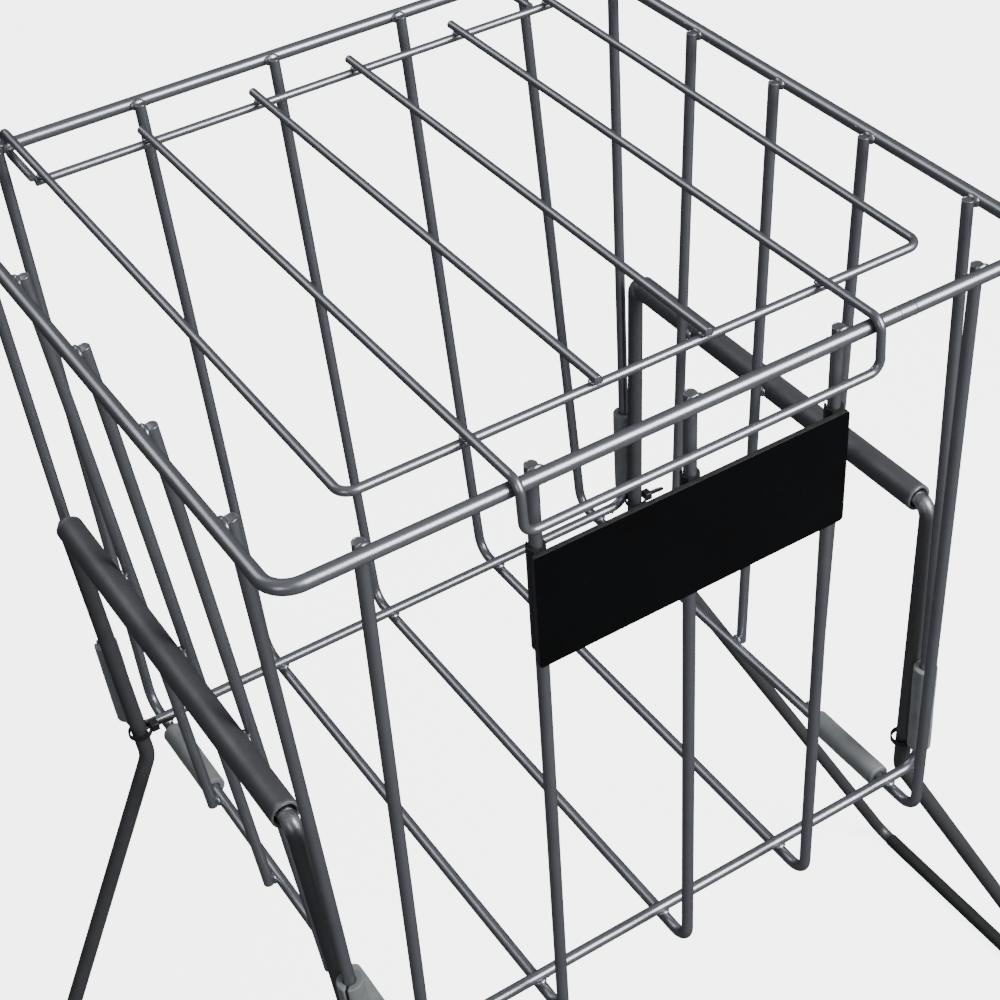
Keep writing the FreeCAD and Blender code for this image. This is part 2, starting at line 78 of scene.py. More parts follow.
def addCamera():
    azimuth, elevation, roll = (math.radians(cameraSet[key]) for key in ("azimuth", "elevation", "roll"))
    look = Vector((-math.sin(azimuth) * math.cos(elevation),
                   math.cos(azimuth) * math.cos(elevation), -math.sin(elevation)))
    levelRight = look.cross(upright).normalized()
    levelUp = levelRight.cross(look)
    right = math.cos(roll) * levelRight + math.sin(roll) * levelUp
    up = -math.sin(roll) * levelRight + math.cos(roll) * levelUp
    turn = Matrix((right, up, -look)).transposed().to_4x4()
    lens = bpy.data.cameras.new("photoCamera")
    lens.lens = cameraSet["lens"]
    lens.shift_x, lens.shift_y = cameraSet["shift"]
    camera = bpy.data.objects.new("photoCamera", lens)
    camera.matrix_world = Matrix.Translation(cameraSet["place"]) @ turn
    scene.collection.objects.link(camera)
    scene.camera = camera


studioSet = {
    "floorSize": 14.0,
    # the floor's colour to the camera and to what it lights, its clouds, and its own glow to the camera
    "floorSeen": (0.86, 0.865, 0.875),
    "floorLit": (0.15, 0.152, 0.157),
    "floorClouds": {"scale": 6.0, "detail": 4.0},
    "floorDim": 0.985,
    "floorRough": 0.9,
    "floorShine": 0.1,
    "floorGlow": 4.6,
    "airSeen": (0.93, 0.94, 0.96),
    "airStrength": 4.5,
    # the room round the wires, from level up to the height where it is lightest
    "airLow": (0.1, 0.103, 0.112),
    "airHigh": (0.2, 0.205, 0.215),
    "airTop": 0.9,
    # place, size along X and Y, watts, colour
    "softboxes": [
        ((1.05, -1.75, 1.95), (1.3, 1.5), 88, (0.985, 0.99, 1.0)),
        ((-1.9, -1.5, 1.6), (0.9, 0.9), 7, (0.95, 0.97, 1.0)),
        ((-0.7, 1.8, 2.3), (1.4, 1.0), 12, (0.96, 0.97, 1.0)),
    ],
    "aim": (0, 0, 0.5),
}


def addStudio():
    edge = studioSet["floorSize"] / 2
    shape = bpy.data.meshes.new("studioFloor")
    corners = [(-edge, -edge, 0), (edge, -edge, 0), (edge, edge, 0), (-edge, edge, 0)]
    shape.from_pydata(corners, [], [(0, 1, 2, 3)])
    floor = bpy.data.objects.new("studioFloor", shape)
    scene.collection.objects.link(floor)
    shape.materials.append(paperFloor())
    for number, (place, (wide, deep), watts, colour) in enumerate(studioSet["softboxes"], 1):
        light = bpy.data.lights.new(f"softbox{number}", "AREA")
        light.shape, light.size, light.size_y = "RECTANGLE", wide, deep
        light.energy, light.color = watts, colour
        box = bpy.data.objects.new(f"softbox{number}", light)
        box.location = place
        box.rotation_euler = (Vector(studioSet["aim"]) - Vector(place)).to_track_quat("-Z", "Y").to_euler()
        scene.collection.objects.link(box)
    addAir()


# Pale all round to the eye, and a dim room with a lighter ceiling to the wires
def addAir():
    world = bpy.data.worlds.new("studioAir")
    world.use_nodes = True
    tree = world.node_tree
    seen = tree.nodes["Background"]
    seen.inputs["Color"].default_value = (*studioSet["airSeen"], 1)
    seen.inputs["Strength"].default_value = studioSet["airStrength"]
    height = feed(tree, addNode(tree, "ShaderNodeSeparateXYZ"),
                  Vector=addNode(tree, "ShaderNodeTexCoord").outputs["Generated"]).outputs["Z"]
    rise = spread(tree, height, 0.0, studioSet["airTop"], 0.0, 1.0)
    room = feed(tree, addNode(tree, "ShaderNodeBackground"),
                Color=blendColours(tree, rise, studioSet["airLow"], studioSet["airHigh"]))
    either = addNode(tree, "ShaderNodeMixShader")
    tree.links.new(addNode(tree, "ShaderNodeLightPath").outputs["Is Camera Ray"], either.inputs[0])
    tree.links.new(room.outputs["Background"], either.inputs[1])
    tree.links.new(seen.outputs["Background"], either.inputs[2])
    tree.links.new(either.outputs[0], tree.nodes["World Output"].inputs["Surface"])
    scene.world = world


# Node helpers

def addNode(tree, kind, **settings):
    node = tree.nodes.new(kind)
    for key, value in settings.items():
        setattr(node, key, value)
    return node


def fill(tree, socket, source):
    # a link from another node's socket, or a plain value
    if isinstance(source, bpy.types.NodeSocket):
        tree.links.new(source, socket)
    else:
        socket.default_value = source


def feed(tree, node, **inputs):
    for label, source in inputs.items():
        fill(tree, node.inputs[label.replace("_", " ")], source)
    return node


def sums(tree, operation, *values):
    node = addNode(tree, "ShaderNodeMath", operation=operation)
    for socket, value in zip(node.inputs, values):
        fill(tree, socket, value)
    return node.outputs[0]


def spread(tree, value, fromLow, fromHigh, toLow, toHigh):
    node = addNode(tree, "ShaderNodeMapRange")
    feed(tree, node, Value=value, From_Min=fromLow, From_Max=fromHigh, To_Min=toLow, To_Max=toHigh)
    return node.outputs["Result"]


def blendColours(tree, mask, first, second):
    node = addNode(tree, "ShaderNodeMix", data_type="RGBA")
    fill(tree, node.inputs[0], mask)
    for socket, colour in ((node.inputs[6], first), (node.inputs[7], second)):
        fill(tree, socket, colour if isinstance(colour, bpy.types.NodeSocket) else (*colour, 1))
    return node.outputs[2]


def noiseOf(tree, place, scale, detail=2.0, roughness=0.5):
    node = addNode(tree, "ShaderNodeTexNoise")
    feed(tree, node, Vector=place, Scale=scale, Detail=detail, Roughness=roughness)
    return node.outputs["Fac"]


def stretched(tree, place, scale, turn=(0, 0, 0)):
    node = addNode(tree, "ShaderNodeMapping")
    return feed(tree, node, Vector=place, Scale=scale, Rotation=turn).outputs["Vector"]


def scaled(tree, vector, factor):
    node = addNode(tree, "ShaderNodeVectorMath", operation="SCALE")
    fill(tree, node.inputs[0], vector)
    return feed(tree, node, Scale=factor).outputs["Vector"]


def addInputs(tree, inputs):
    for label, kind, value in inputs:
        socket = tree.interface.new_socket(label, in_out="INPUT", socket_type="NodeSocket" + kind)
        if value is not None:
            socket.default_value = value


def groupOf(name, inputs, outputs):
    tree = bpy.data.node_groups.new(name, "ShaderNodeTree")
    addInputs(tree, inputs)
    for label in outputs:
        tree.interface.new_socket(label, in_out="OUTPUT", socket_type="NodeSocketFloat")
    return tree, tree.nodes.new("NodeGroupInput"), tree.nodes.new("NodeGroupOutput")


def useGroup(tree, group, **inputs):
    return feed(tree, addNode(tree, "ShaderNodeGroup", node_tree=group), **inputs)


def startMaterial(name):
    material = bpy.data.materials.new(name)
    material.use_nodes = True
    tree = material.node_tree
    place = addNode(tree, "ShaderNodeTexCoord").outputs["Object"]
    return material, tree, tree.nodes["Principled BSDF"], place


def addBump(tree, shader, height, strength, distance):
    bump = addNode(tree, "ShaderNodeBump")
    feed(tree, bump, Height=height, Strength=strength, Distance=distance)
    feed(tree, shader, Normal=bump.outputs["Normal"])


# Shared effects: sprayed coat, scuffs, and rub marks that are wear with a painted highlight

noiseBand = (0.3, 0.7)  # nearly all of a noise lies between these
effectSet = {
    # sprayed coat, with scales in waves a metre; cells over flakeFrom shine
    "peelScale": 900.0, "peel": {"detail": 2.5, "roughness": 0.55},
    "driftScale": 35.0, "drift": {"detail": 3.0, "roughness": 0.6},
    "flakeScale": 3200.0, "flakeFrom": 0.62,
    # scuffs: patches of fine lines, drawn out one way
    "patchScale": 60.0, "patch": {"detail": 3.0, "roughness": 0.6}, "patchRange": (0.52, 0.68),
    "line": {"scale": 2600.0, "detail": 1.0, "roughness": 0.4}, "lineRange": (0.66, 0.74),
    "lineStretch": (1.0, 1.0, 0.12), "lineTurn": (0.4, 0.9, 0.3), "scuffAmount": 0.2,
    # rub marks, bare steel with a painted highlight: radius, the share of it that is fully bare and bright,
    # and the raggedness of its edge
    "rubHighlightRadius": 0.01, "rubHighlightFull": 0.55, "rubHighlightRagged": 0.15, "raggedScale": 420.0,
}


def makeSprayedCoat():
    # Powder coat: fine orange peel, slow drift of the film's thickness, and metal flakes.
    tree, given, put = groupOf("sprayedCoat", [
        ("Place", "Vector", None), ("Peel Scale", "Float", effectSet["peelScale"]),
        ("Drift Scale", "Float", effectSet["driftScale"]), ("Flake Scale", "Float", effectSet["flakeScale"])],
        ["Peel", "Drift", "Flake"])
    place = given.outputs["Place"]
    for label, key in (("Peel", "peel"), ("Drift", "drift")):
        waves = noiseOf(tree, place, given.outputs[label + " Scale"], **effectSet[key])
        tree.links.new(waves, put.inputs[label])
    cells = feed(tree, addNode(tree, "ShaderNodeTexVoronoi"), Vector=place,
                 Scale=given.outputs["Flake Scale"])
    split = feed(tree, addNode(tree, "ShaderNodeSeparateColor"), Color=cells.outputs["Color"])
    tree.links.new(spread(tree, split.outputs[0], effectSet["flakeFrom"], 1.0, 0.0, 1.0), put.inputs["Flake"])
    return tree


def makeScuffs():
    # Short faint scratches and handling marks.
    tree, given, put = groupOf("scuffs", [
        ("Place", "Vector", None), ("Scale", "Float", effectSet["patchScale"]),
        ("Amount", "Float", effectSet["scuffAmount"])], ["Mark"])
    place = given.outputs["Place"]
    patch = noiseOf(tree, place, given.outputs["Scale"], **effectSet["patch"])
    drawn = stretched(tree, place, effectSet["lineStretch"], effectSet["lineTurn"])
    lines = spread(tree, noiseOf(tree, drawn, **effectSet["line"]), *effectSet["lineRange"], 0.0, 1.0)
    where = spread(tree, patch, *effectSet["patchRange"], 0.0, 1.0)
    mark = sums(tree, "MULTIPLY", sums(tree, "MULTIPLY", lines, where), given.outputs["Amount"])
    tree.links.new(mark, put.inputs["Mark"])
    return tree


def makeRubHighlight():
    # A worn place that is also a painted highlight: strongest at a point, fading out over a radius, with a
    # ragged edge.
    tree, given, put = groupOf("rubHighlight", [
        ("Place", "Vector", None), ("Centre", "Vector", None),
        ("Radius", "Float", effectSet["rubHighlightRadius"])], ["Mark"])
    place = given.outputs["Place"]
    away = addNode(tree, "ShaderNodeVectorMath", operation="DISTANCE")
    tree.links.new(place, away.inputs[0])
    tree.links.new(given.outputs["Centre"], away.inputs[1])
    share = sums(tree, "DIVIDE", away.outputs["Value"], given.outputs["Radius"])
    edge = spread(tree, noiseOf(tree, place, effectSet["raggedScale"]), 0.0, 1.0,
                  -effectSet["rubHighlightRagged"], effectSet["rubHighlightRagged"])
    ragged = sums(tree, "ADD", share, edge)
    tree.links.new(spread(tree, ragged, effectSet["rubHighlightFull"], 1.0, 1.0, 0.0), put.inputs["Mark"])
    return tree


sprayedCoat = makeSprayedCoat()
scuffs = makeScuffs()
rubHighlight = makeRubHighlight()


# Materials

# Pale paper to the camera, but dark to the wires, so that they don't mirror a white room
def paperFloor():
    material, tree, shader, place = startMaterial("paperFloor")
    seen = addNode(tree, "ShaderNodeLightPath").outputs["Is Camera Ray"]
    dim = tuple(part * studioSet["floorDim"] for part in studioSet["floorSeen"])
    pale = blendColours(tree, noiseOf(tree, place, **studioSet["floorClouds"]), dim, studioSet["floorSeen"])
    glow = sums(tree, "MULTIPLY", seen, studioSet["floorGlow"])
    feed(tree, shader, Base_Color=blendColours(tree, seen, studioSet["floorLit"], pale),
         Roughness=studioSet["floorRough"], Specular_IOR_Level=studioSet["floorShine"],
         Emission_Color=(*studioSet["airSeen"], 1), Emission_Strength=glow)
    return material


coatSet = {
    # body colour, thinner film, flakes, metal, roughness low and high, peel depth in metres
    "silverCoat": {"body": (0.285, 0.294, 0.322), "thin": (0.345, 0.356, 0.388), "flake": (0.6, 0.6, 0.63),
                   "flakes": 0.12, "metallic": 0.85, "rough": (0.3, 0.37), "peel": 0.000012, "edge": 0.35,
                   "scuff": 0.12},
    "tubeCoat": {"body": (0.13, 0.132, 0.143), "thin": (0.155, 0.157, 0.168), "flake": (0.4, 0.4, 0.43),
                 "flakes": 0.08, "metallic": 0.6, "rough": (0.46, 0.54), "peel": 0.00002, "edge": 0.3,
                 "scuff": 0.15},
    "legCoat": {"body": (0.13, 0.13, 0.138), "thin": (0.165, 0.165, 0.173), "flake": (0.35, 0.35, 0.37),
                "flakes": 0.06, "metallic": 0.7, "rough": (0.42, 0.5), "peel": 0.00002, "edge": 0.3,
                "scuff": 0.2},
    "weldCoat": {"body": (0.3, 0.306, 0.33), "thin": (0.42, 0.43, 0.455), "flake": (0.65, 0.65, 0.68),
                 "flakes": 0.15, "metallic": 0.9, "rough": (0.26, 0.36), "peel": 0.00003, "edge": 0.5,
                 "scuff": 0.0},
}
wearSet = {
    # bare steel of the scuffs, and the painted highlight of the rub marks
    "bareSteelAndHighlight": (0.6, 0.61, 0.63),
    # how much smoother a mark is, the part of the drift that sets roughness, and the coat's shine and peel
    "polish": 0.24, "roughBand": (0.25, 0.75), "shine": 0.35, "peelStrength": 0.5,
    # how far the coat is rubbed bare and painted bright as a highlight round a tube's end, on the rod and on
    # the tube
    "rodRubHighlight": 0.0085, "tubeRubHighlight": 0.0066,
}


def sprayedMaterial(name, rubHighlights=()):
    # A sprayed wire finish, with worn places that also carry a painted highlight, each a centre and a radius.
    coat = coatSet[name]
    material, tree, shader, place = startMaterial(name)
    film = useGroup(tree, sprayedCoat, Place=place)
    drift = spread(tree, film.outputs["Drift"], *noiseBand, 0.0, 1.0)
    colour = blendColours(tree, drift, coat["body"], coat["thin"])
    glints = sums(tree, "MULTIPLY", film.outputs["Flake"], coat["flakes"])
    colour = blendColours(tree, glints, colour, coat["flake"])
    mark = useGroup(tree, scuffs, Place=place, Amount=coat["scuff"]).outputs["Mark"]
    for centre, radius in rubHighlights:
        rubbedAndLit = useGroup(tree, rubHighlight, Place=place, Centre=centre, Radius=radius).outputs["Mark"]
        mark = sums(tree, "MAXIMUM", mark, rubbedAndLit)
    low, high = coat["rough"]
    rough = sums(tree, "SUBTRACT", spread(tree, film.outputs["Drift"], *wearSet["roughBand"], high, low),
                 sums(tree, "MULTIPLY", mark, wearSet["polish"]))
    # scuffs and rub marks turn to bare, smoother steel; on the rub marks this is a painted highlight
    feed(tree, shader, Base_Color=blendColours(tree, mark, colour, wearSet["bareSteelAndHighlight"]), Roughness=rough,
         Metallic=sums(tree, "MAXIMUM", mark, coat["metallic"]), Specular_IOR_Level=wearSet["shine"],
         Specular_Tint=(coat["edge"], coat["edge"], coat["edge"], 1))
    addBump(tree, shader, film.outputs["Peel"], wearSet["peelStrength"], coat["peel"])
    return material


def rubHighlightPlaces(radius):
    # The coat is worn to bare steel and painted bright as a highlight where the leg rods leave their tubes.
    places = []
    for name in tubeNodes:
        low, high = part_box(name)
        middle = middleOf(name)
        places += [((middle.x, end, middle.z), radius) for end in (low.y, high.y)]
    return places


vinylSet = {
    "greyVinyl": {"colour": (0.22, 0.233, 0.236), "pale": (0.35, 0.37, 0.372), "rough": (0.42, 0.6),
                  "see": 0.25},
    "darkVinyl": {"colour": (0.02, 0.021, 0.021), "pale": (0.036, 0.037, 0.037), "rough": (0.5, 0.65),
                  "see": 0.0},
    # drawn lines along the tube, and clouds, with the share of each in the tone
    "stretch": 0.03, "lines": {"scale": 1500.0, "detail": 3.0, "roughness": 0.6}, "lineShare": 0.25,
    "clouds": {"scale": 120.0, "detail": 3.0}, "cloudShare": 0.4,
    "scuffScale": 90.0, "scuffAmount": 0.5,
    "lineStrength": 0.5, "lineDepth": 0.00008, "seeDepth": 0.002,
}


def vinylMaterial(name, finish, along):
    # Extruded soft vinyl: faint drawn lines along the tube, cloudy colour, and scuffs.
    vinyl = vinylSet[finish]
    material, tree, shader, place = startMaterial(name)
    drawn = stretched(tree, place, tuple(vinylSet["stretch"] if axis == along else 1.0 for axis in "xyz"))
    lines = noiseOf(tree, drawn, **vinylSet["lines"])
    cloud = spread(tree, noiseOf(tree, place, **vinylSet["clouds"]), *noiseBand, 0.0, 1.0)
    mark = useGroup(tree, scuffs, Place=place, Scale=vinylSet["scuffScale"],
                    Amount=vinylSet["scuffAmount"]).outputs["Mark"]
    tone = sums(tree, "ADD", sums(tree, "MULTIPLY", cloud, vinylSet["cloudShare"]),
                sums(tree, "ADD", sums(tree, "MULTIPLY", lines, vinylSet["lineShare"]), mark))
    low, high = vinyl["rough"]
    feed(tree, shader, Base_Color=blendColours(tree, tone, vinyl["colour"], vinyl["pale"]),
         Roughness=spread(tree, lines, *noiseBand, high, low), Subsurface_Weight=vinyl["see"],
         Subsurface_Scale=vinylSet["seeDepth"], Subsurface_Radius=(1.0, 1.0, 1.0))
    addBump(tree, shader, lines, vinylSet["lineStrength"], vinylSet["lineDepth"])
    return material


mouldSet = {
    # two blacks that drift into each other, the skin's grain, and which of the two sets the roughness
    "tieNylon": {"dark": (0.009, 0.009, 0.01), "pale": (0.022, 0.022, 0.024), "cloud": 220.0,
                 "grain": 2200.0, "depth": 0.00006, "roughBy": "cloud", "rough": (0.28, 0.42)},
    "clipPlastic": {"dark": (0.012, 0.012, 0.013), "pale": (0.024, 0.024, 0.026), "cloud": 90.0,
                    "grain": 3000.0, "depth": 0.00008, "roughBy": "grain", "rough": (0.38, 0.55)},
    "grainStrength": 0.5,
}


def mouldedMaterial(name):
    # Black moulding: satin nylon with a pebbled skin, or a clip's fine spark-eroded texture.
    mould = mouldSet[name]
    material, tree, shader, place = startMaterial(name)
    noises = {key: noiseOf(tree, place, mould[key]) for key in ("grain", "cloud")}
    feed(tree, shader, Base_Color=blendColours(tree, noises["cloud"], mould["dark"], mould["pale"]),
         Roughness=spread(tree, noises[mould["roughBy"]], *noiseBand, *mould["rough"]))
    addBump(tree, shader, noises["grain"], mouldSet["grainStrength"], mould["depth"])
    return material


def dress(names, material):
    for name in names:
        nodes[name].data.materials.clear()
        nodes[name].data.materials.append(material)


def keep(name, mesh, body, materials=(), replaced=()):
    mesh.name = name
    for material in materials:
        mesh.materials.append(material)
    item = bpy.data.objects.new(name, mesh)
    scene.collection.objects.link(item)
    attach(item, body)
    if replaced:
        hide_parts(*replaced)


# Geometry Nodes

def newTree(name, inputs):
    tree = bpy.data.node_groups.new(name, "GeometryNodeTree")
    tree.interface.new_socket("Geometry", in_out="INPUT", socket_type="NodeSocketGeometry")
    addInputs(tree, inputs)
    tree.interface.new_socket("Geometry", in_out="OUTPUT", socket_type="NodeSocketGeometry")
    return tree, tree.nodes.new("NodeGroupInput"), tree.nodes.new("NodeGroupOutput")


def readVector(tree, name):
    node = addNode(tree, "GeometryNodeInputNamedAttribute", data_type="FLOAT_VECTOR")
    node.inputs["Name"].default_value = name
    return node.outputs["Attribute"]


def plantShapes(tree, given, put, shape, turn, size):
    # The shape on every point, realized, lumpy, smooth, and with the tree's material.
    spots = feed(tree, addNode(tree, "GeometryNodeInstanceOnPoints"), Points=given.outputs["Geometry"],
                 Instance=shape, Rotation=turn, Scale=size)
    real = feed(tree, addNode(tree, "GeometryNodeRealizeInstances"), Geometry=spots.outputs["Instances"])
    waves = feed(tree, addNode(tree, "ShaderNodeTexNoise", noise_dimensions="4D"), W=given.outputs["Seed"],
                 Scale=given.outputs["Lump Scale"])
    swing = sums(tree, "SUBTRACT", waves.outputs["Fac"], 0.5)  # the noise's middle moves nothing
    push = sums(tree, "MULTIPLY", swing, given.outputs["Lump Height"])
    normal = addNode(tree, "GeometryNodeInputNormal").outputs["Normal"]
    moved = feed(tree, addNode(tree, "GeometryNodeSetPosition"), Geometry=real.outputs["Geometry"],
                 Offset=scaled(tree, normal, push))
    smooth = feed(tree, addNode(tree, "GeometryNodeSetShadeSmooth"), Geometry=moved.outputs["Geometry"])
    coated = feed(tree, addNode(tree, "GeometryNodeSetMaterial"), Geometry=smooth.outputs["Geometry"],
                  Material=given.outputs["Finish"])
    tree.links.new(coated.outputs["Geometry"], put.inputs["Geometry"])
    return tree


def growOn(name, spots, tree, **values):
    # A plain mesh of what a tree makes on these spots, each a dictionary of its place and directions.
    cloud = bpy.data.meshes.new(name + "Spots")
    cloud.from_pydata([spot["place"] for spot in spots], [], [])
    for label in ("outward", "along", "reach"):
        layer = cloud.attributes.new(label, "FLOAT_VECTOR", "POINT")
        for item, spot in zip(layer.data, spots):
            item.vector = spot[label]
    holder = bpy.data.objects.new(name + "Spots", cloud)
    scene.collection.objects.link(holder)
    modifier = holder.modifiers.new(name, "NODES")
    modifier.node_group = tree
    for socket in tree.interface.items_tree:
        key = socket.name.replace(" ", "_")
        if socket.in_out == "INPUT" and key in values:
            modifier[socket.identifier] = values[key]
    grown = holder.evaluated_get(bpy.context.evaluated_depsgraph_get())
    mesh = bpy.data.meshes.new_from_object(grown)
    holder.modifiers.remove(modifier)
    bpy.data.objects.remove(holder)
    return mesh


# Welds

weldSet = {
    # half sizes along the first wire, along the second, and through the joint
    "rimWeld": (0.0036, 0.0026, 0.0016),
    "floorWeld": (0.003, 0.003, 0.0015),
    "tubeWeld": (0.0038, 0.0028, 0.0016),
    "lidWeld": (0.0023, 0.0023, 0.0011),
    "rimSeam": (0.0011, 0.0029, 0.0029),
    # where the rim's two beads are along X, and how high on its floor run a side wire meets it
    "seamPlaces": (0.0855, 0.0925),
    "sideRise": 0.62,
    # swell of all nuggets, cuts of the ball they start from, and the lumps in waves a metre
    "swell": 1.0,
    "ballCuts": 4,
    "lumpScale": 420.0,
    # height of the lumps and seed of each piece
    "lumps": {"weldsBasket": (0.0007, 3.0), "rimSeam": (0.0004, 9.0), "weldsLid": (0.0005, 4.0)},
}
spatterSet = {
    # seed, share of the welds that have none, and how many beads the others have
    "seed": 7,
    "clean": 0.5,
    "counts": (1, 1, 2),
    # how far along the wire in half sizes of the weld, how far round it, and a bead's size and shape
    "far": (1.2, 2.8),
    "round": 1.3,
    "size": 0.00055,
    "sizes": (0.6, 1.2),
    "shape": (1.2, 1.0, 0.7),
}


def nuggetTree():
    # A squashed lump of weld metal on every point, laid along both wires.
    lumpHeight, seed = weldSet["lumps"]["weldsBasket"]
    tree, given, put = newTree("weldNugget", [
        ("Swell", "Float", weldSet["swell"]), ("Lump Height", "Float", lumpHeight),
        ("Lump Scale", "Float", weldSet["lumpScale"]), ("Seed", "Float", seed), ("Finish", "Material", None)])
    ball = feed(tree, addNode(tree, "GeometryNodeMeshIcoSphere"), Subdivisions=weldSet["ballCuts"])
    turn = addNode(tree, "FunctionNodeAxesToRotation", primary_axis="Z", secondary_axis="X")
    tree.links.new(readVector(tree, "outward"), turn.inputs[0])
    tree.links.new(readVector(tree, "along"), turn.inputs[1])
    size = scaled(tree, readVector(tree, "reach"), given.outputs["Swell"])
    return plantShapes(tree, given, put, ball.outputs["Mesh"], turn.outputs["Rotation"], size)


def spotAt(place, along, outward, reach, spine=None):
    # spine is the way from a weld to the centre line of the wire that it runs along
    return {"place": Vector(place), "along": along, "outward": outward, "reach": Vector(reach),
            "spine": spine}


def basketWelds():
    rimLow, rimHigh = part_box("top_rim")
    rimLevel, rimWire = (rimLow.z + rimHigh.z) / 2, rimHigh.z - rimLow.z
    welds = []
    for name in hoops:
        for edge, out in ((rimLow.y + rimWire, 1), (rimHigh.y - rimWire, -1)):
            welds.append(spotAt((middleOf(name).x, edge, rimLevel), across, ahead * out, weldSet["rimWeld"],
                                ahead * -out * rimWire / 2))
    for name in crossHoops + [f"side_wire_left_{number}" for number in range(1, 4)]:
        for edge, out in ((rimLow.x + rimWire, 1), (rimHigh.x - rimWire, -1)):
            welds.append(spotAt((edge, middleOf(name).y, rimLevel), ahead, across * out, weldSet["rimWeld"],
                                across * -out * rimWire / 2))
    floorLow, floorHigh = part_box(hoops[0])
    runWire = floorHigh.x - floorLow.x
    for name in crossHoops:
        for hoop in hoops:
            welds.append(spotAt((middleOf(hoop).x, middleOf(name).y, floorLow.z + runWire), across, upright,
                                weldSet["floorWeld"], upright * runWire / 2))
    for word, side in leftRight:
        outer = middleOf(hoops[0] if side < 0 else hoops[-1]).x + side * runWire / 2
        tubeLow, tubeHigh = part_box(f"pivot_tube_{word}")
        inner = tubeHigh.x if side < 0 else tubeLow.x
        for number in range(1, 4):
            place = middleOf(f"side_wire_{word}_{number}").y
            welds.append(spotAt((outer, place, floorLow.z + runWire * weldSet["sideRise"]), ahead,
                                across * side, weldSet["floorWeld"]))
            welds.append(spotAt((inner, place, (tubeLow.z + tubeHigh.z) / 2), ahead, across * side,
                                weldSet["tubeWeld"]))
    return welds


def rimSeam():
    # The rim's own butt joint, two low beads on the front.
    rimLow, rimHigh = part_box("top_rim")
    front = rimLow.y + (rimHigh.z - rimLow.z) / 2
    return [spotAt((place, front, (rimLow.z + rimHigh.z) / 2), across, ahead, weldSet["rimSeam"])
            for place in weldSet["seamPlaces"]]


def lidWelds():
    rodLow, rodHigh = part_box("lid_back_rod")
    frameLow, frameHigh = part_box("lid_frame")
    loopLow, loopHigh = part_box("latch_loop")
    wire = rodHigh.z - rodLow.z
    bars = [middleOf("lid_bar_left").x, middleOf("lid_bar_right").x]
    arms = [loopLow.x + wire / 2, loopHigh.x - wire / 2]
    edges = [frameLow.x + wire / 2, frameHigh.x - wire / 2]
    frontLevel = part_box("lid_bar_left")[1].z - wire
    rods = ((edges + bars + arms, middleOf("lid_back_rod").y, rodHigh.z),
            (bars + arms, frameLow.y + wire / 2, frontLevel))
    return [spotAt((place, depth, level), across, upright, weldSet["lidWeld"])
            for places, depth, level in rods for place in places]


def spatterNear(welds):
    # a few small beads thrown on the wires beside some of the welds
    chance = random.Random(spatterSet["seed"])
    beads = []
    for weld in welds:
        if not weld["spine"] or chance.random() < spatterSet["clean"]:
            continue
        radius = weld["spine"].length
        inward = weld["spine"].normalized()
        for _ in range(chance.choice(spatterSet["counts"])):
            far = chance.uniform(*spatterSet["far"]) * weld["reach"].x * chance.choice((-1, 1))
            angle = chance.uniform(-spatterSet["round"], spatterSet["round"])
            face = weld["along"].cross(inward) * math.sin(angle) - inward * math.cos(angle)
            size = spatterSet["size"] * chance.uniform(*spatterSet["sizes"])
            beads.append(spotAt(weld["place"] + weld["spine"] + weld["along"] * far + face * radius,
                                weld["along"], face, [size * part for part in spatterSet["shape"]]))
    return beads


# Cut wire ends

hoopSet = {
    # lean of the front and back uprights, of the posts and of the side wires: out over up
    "frontLean": math.atan(17.0 / 301.0),
    "postLean": math.atan(10.0 / 295.85),
    "sideLean": math.atan(21.9 / 301.0),
}
cutSet = {
    # shares of the wire's radius: rounding of the coat, height and width of the dome, reach over the wire
    "bead": 0.11,
    "dome": 0.09,
    "domeWidth": 0.92,
    "overWire": 1.01,
    "ringSteps": 36,
    "beadSteps": 10,
    "domeSteps": (28, 10),
    "lump": 0.00012,
    "lumpScale": 900.0,
    "seed": 5.0,
}


def cutEndTree():
    # A cut wire end: a low dome inside a rounded rim of coat.
    tree, given, put = newTree("cutEnd", [
        ("Bead", "Float", cutSet["bead"]), ("Dome", "Float", cutSet["dome"]),
        ("Lump Height", "Float", cutSet["lump"]), ("Lump Scale", "Float", cutSet["lumpScale"]),
        ("Seed", "Float", cutSet["seed"]), ("Finish", "Material", None)])
    path = feed(tree, addNode(tree, "GeometryNodeCurvePrimitiveCircle"), Resolution=cutSet["ringSteps"],
                Radius=sums(tree, "SUBTRACT", cutSet["overWire"], given.outputs["Bead"]))
    section = feed(tree, addNode(tree, "GeometryNodeCurvePrimitiveCircle"), Resolution=cutSet["beadSteps"],
                   Radius=given.outputs["Bead"])
    ring = feed(tree, addNode(tree, "GeometryNodeCurveToMesh"), Curve=path.outputs["Curve"],
                Profile_Curve=section.outputs["Curve"])
    segments, rings = cutSet["domeSteps"]
    dome = feed(tree, addNode(tree, "GeometryNodeMeshUVSphere"), Segments=segments, Rings=rings)
    flat = feed(tree, addNode(tree, "ShaderNodeCombineXYZ"), X=cutSet["domeWidth"], Y=cutSet["domeWidth"],
                Z=given.outputs["Dome"])
    pressed = feed(tree, addNode(tree, "GeometryNodeTransform"), Geometry=dome.outputs["Mesh"],
                   Scale=flat.outputs["Vector"])
    both = addNode(tree, "GeometryNodeJoinGeometry")
    tree.links.new(ring.outputs["Mesh"], both.inputs["Geometry"])
    tree.links.new(pressed.outputs["Geometry"], both.inputs["Geometry"])
    turn = feed(tree, addNode(tree, "FunctionNodeAlignRotationToVector", axis="Z"),
                Vector=readVector(tree, "outward"))
    return plantShapes(tree, given, put, both.outputs["Geometry"], turn.outputs["Rotation"],
                       readVector(tree, "reach"))


def leaning(lean, away):
    # the way up a wire that leans away from the middle
    return away * math.sin(lean) + upright * math.cos(lean)


def endAt(place, outward, radius):
    return spotAt(place, across, outward, [radius] * 3)


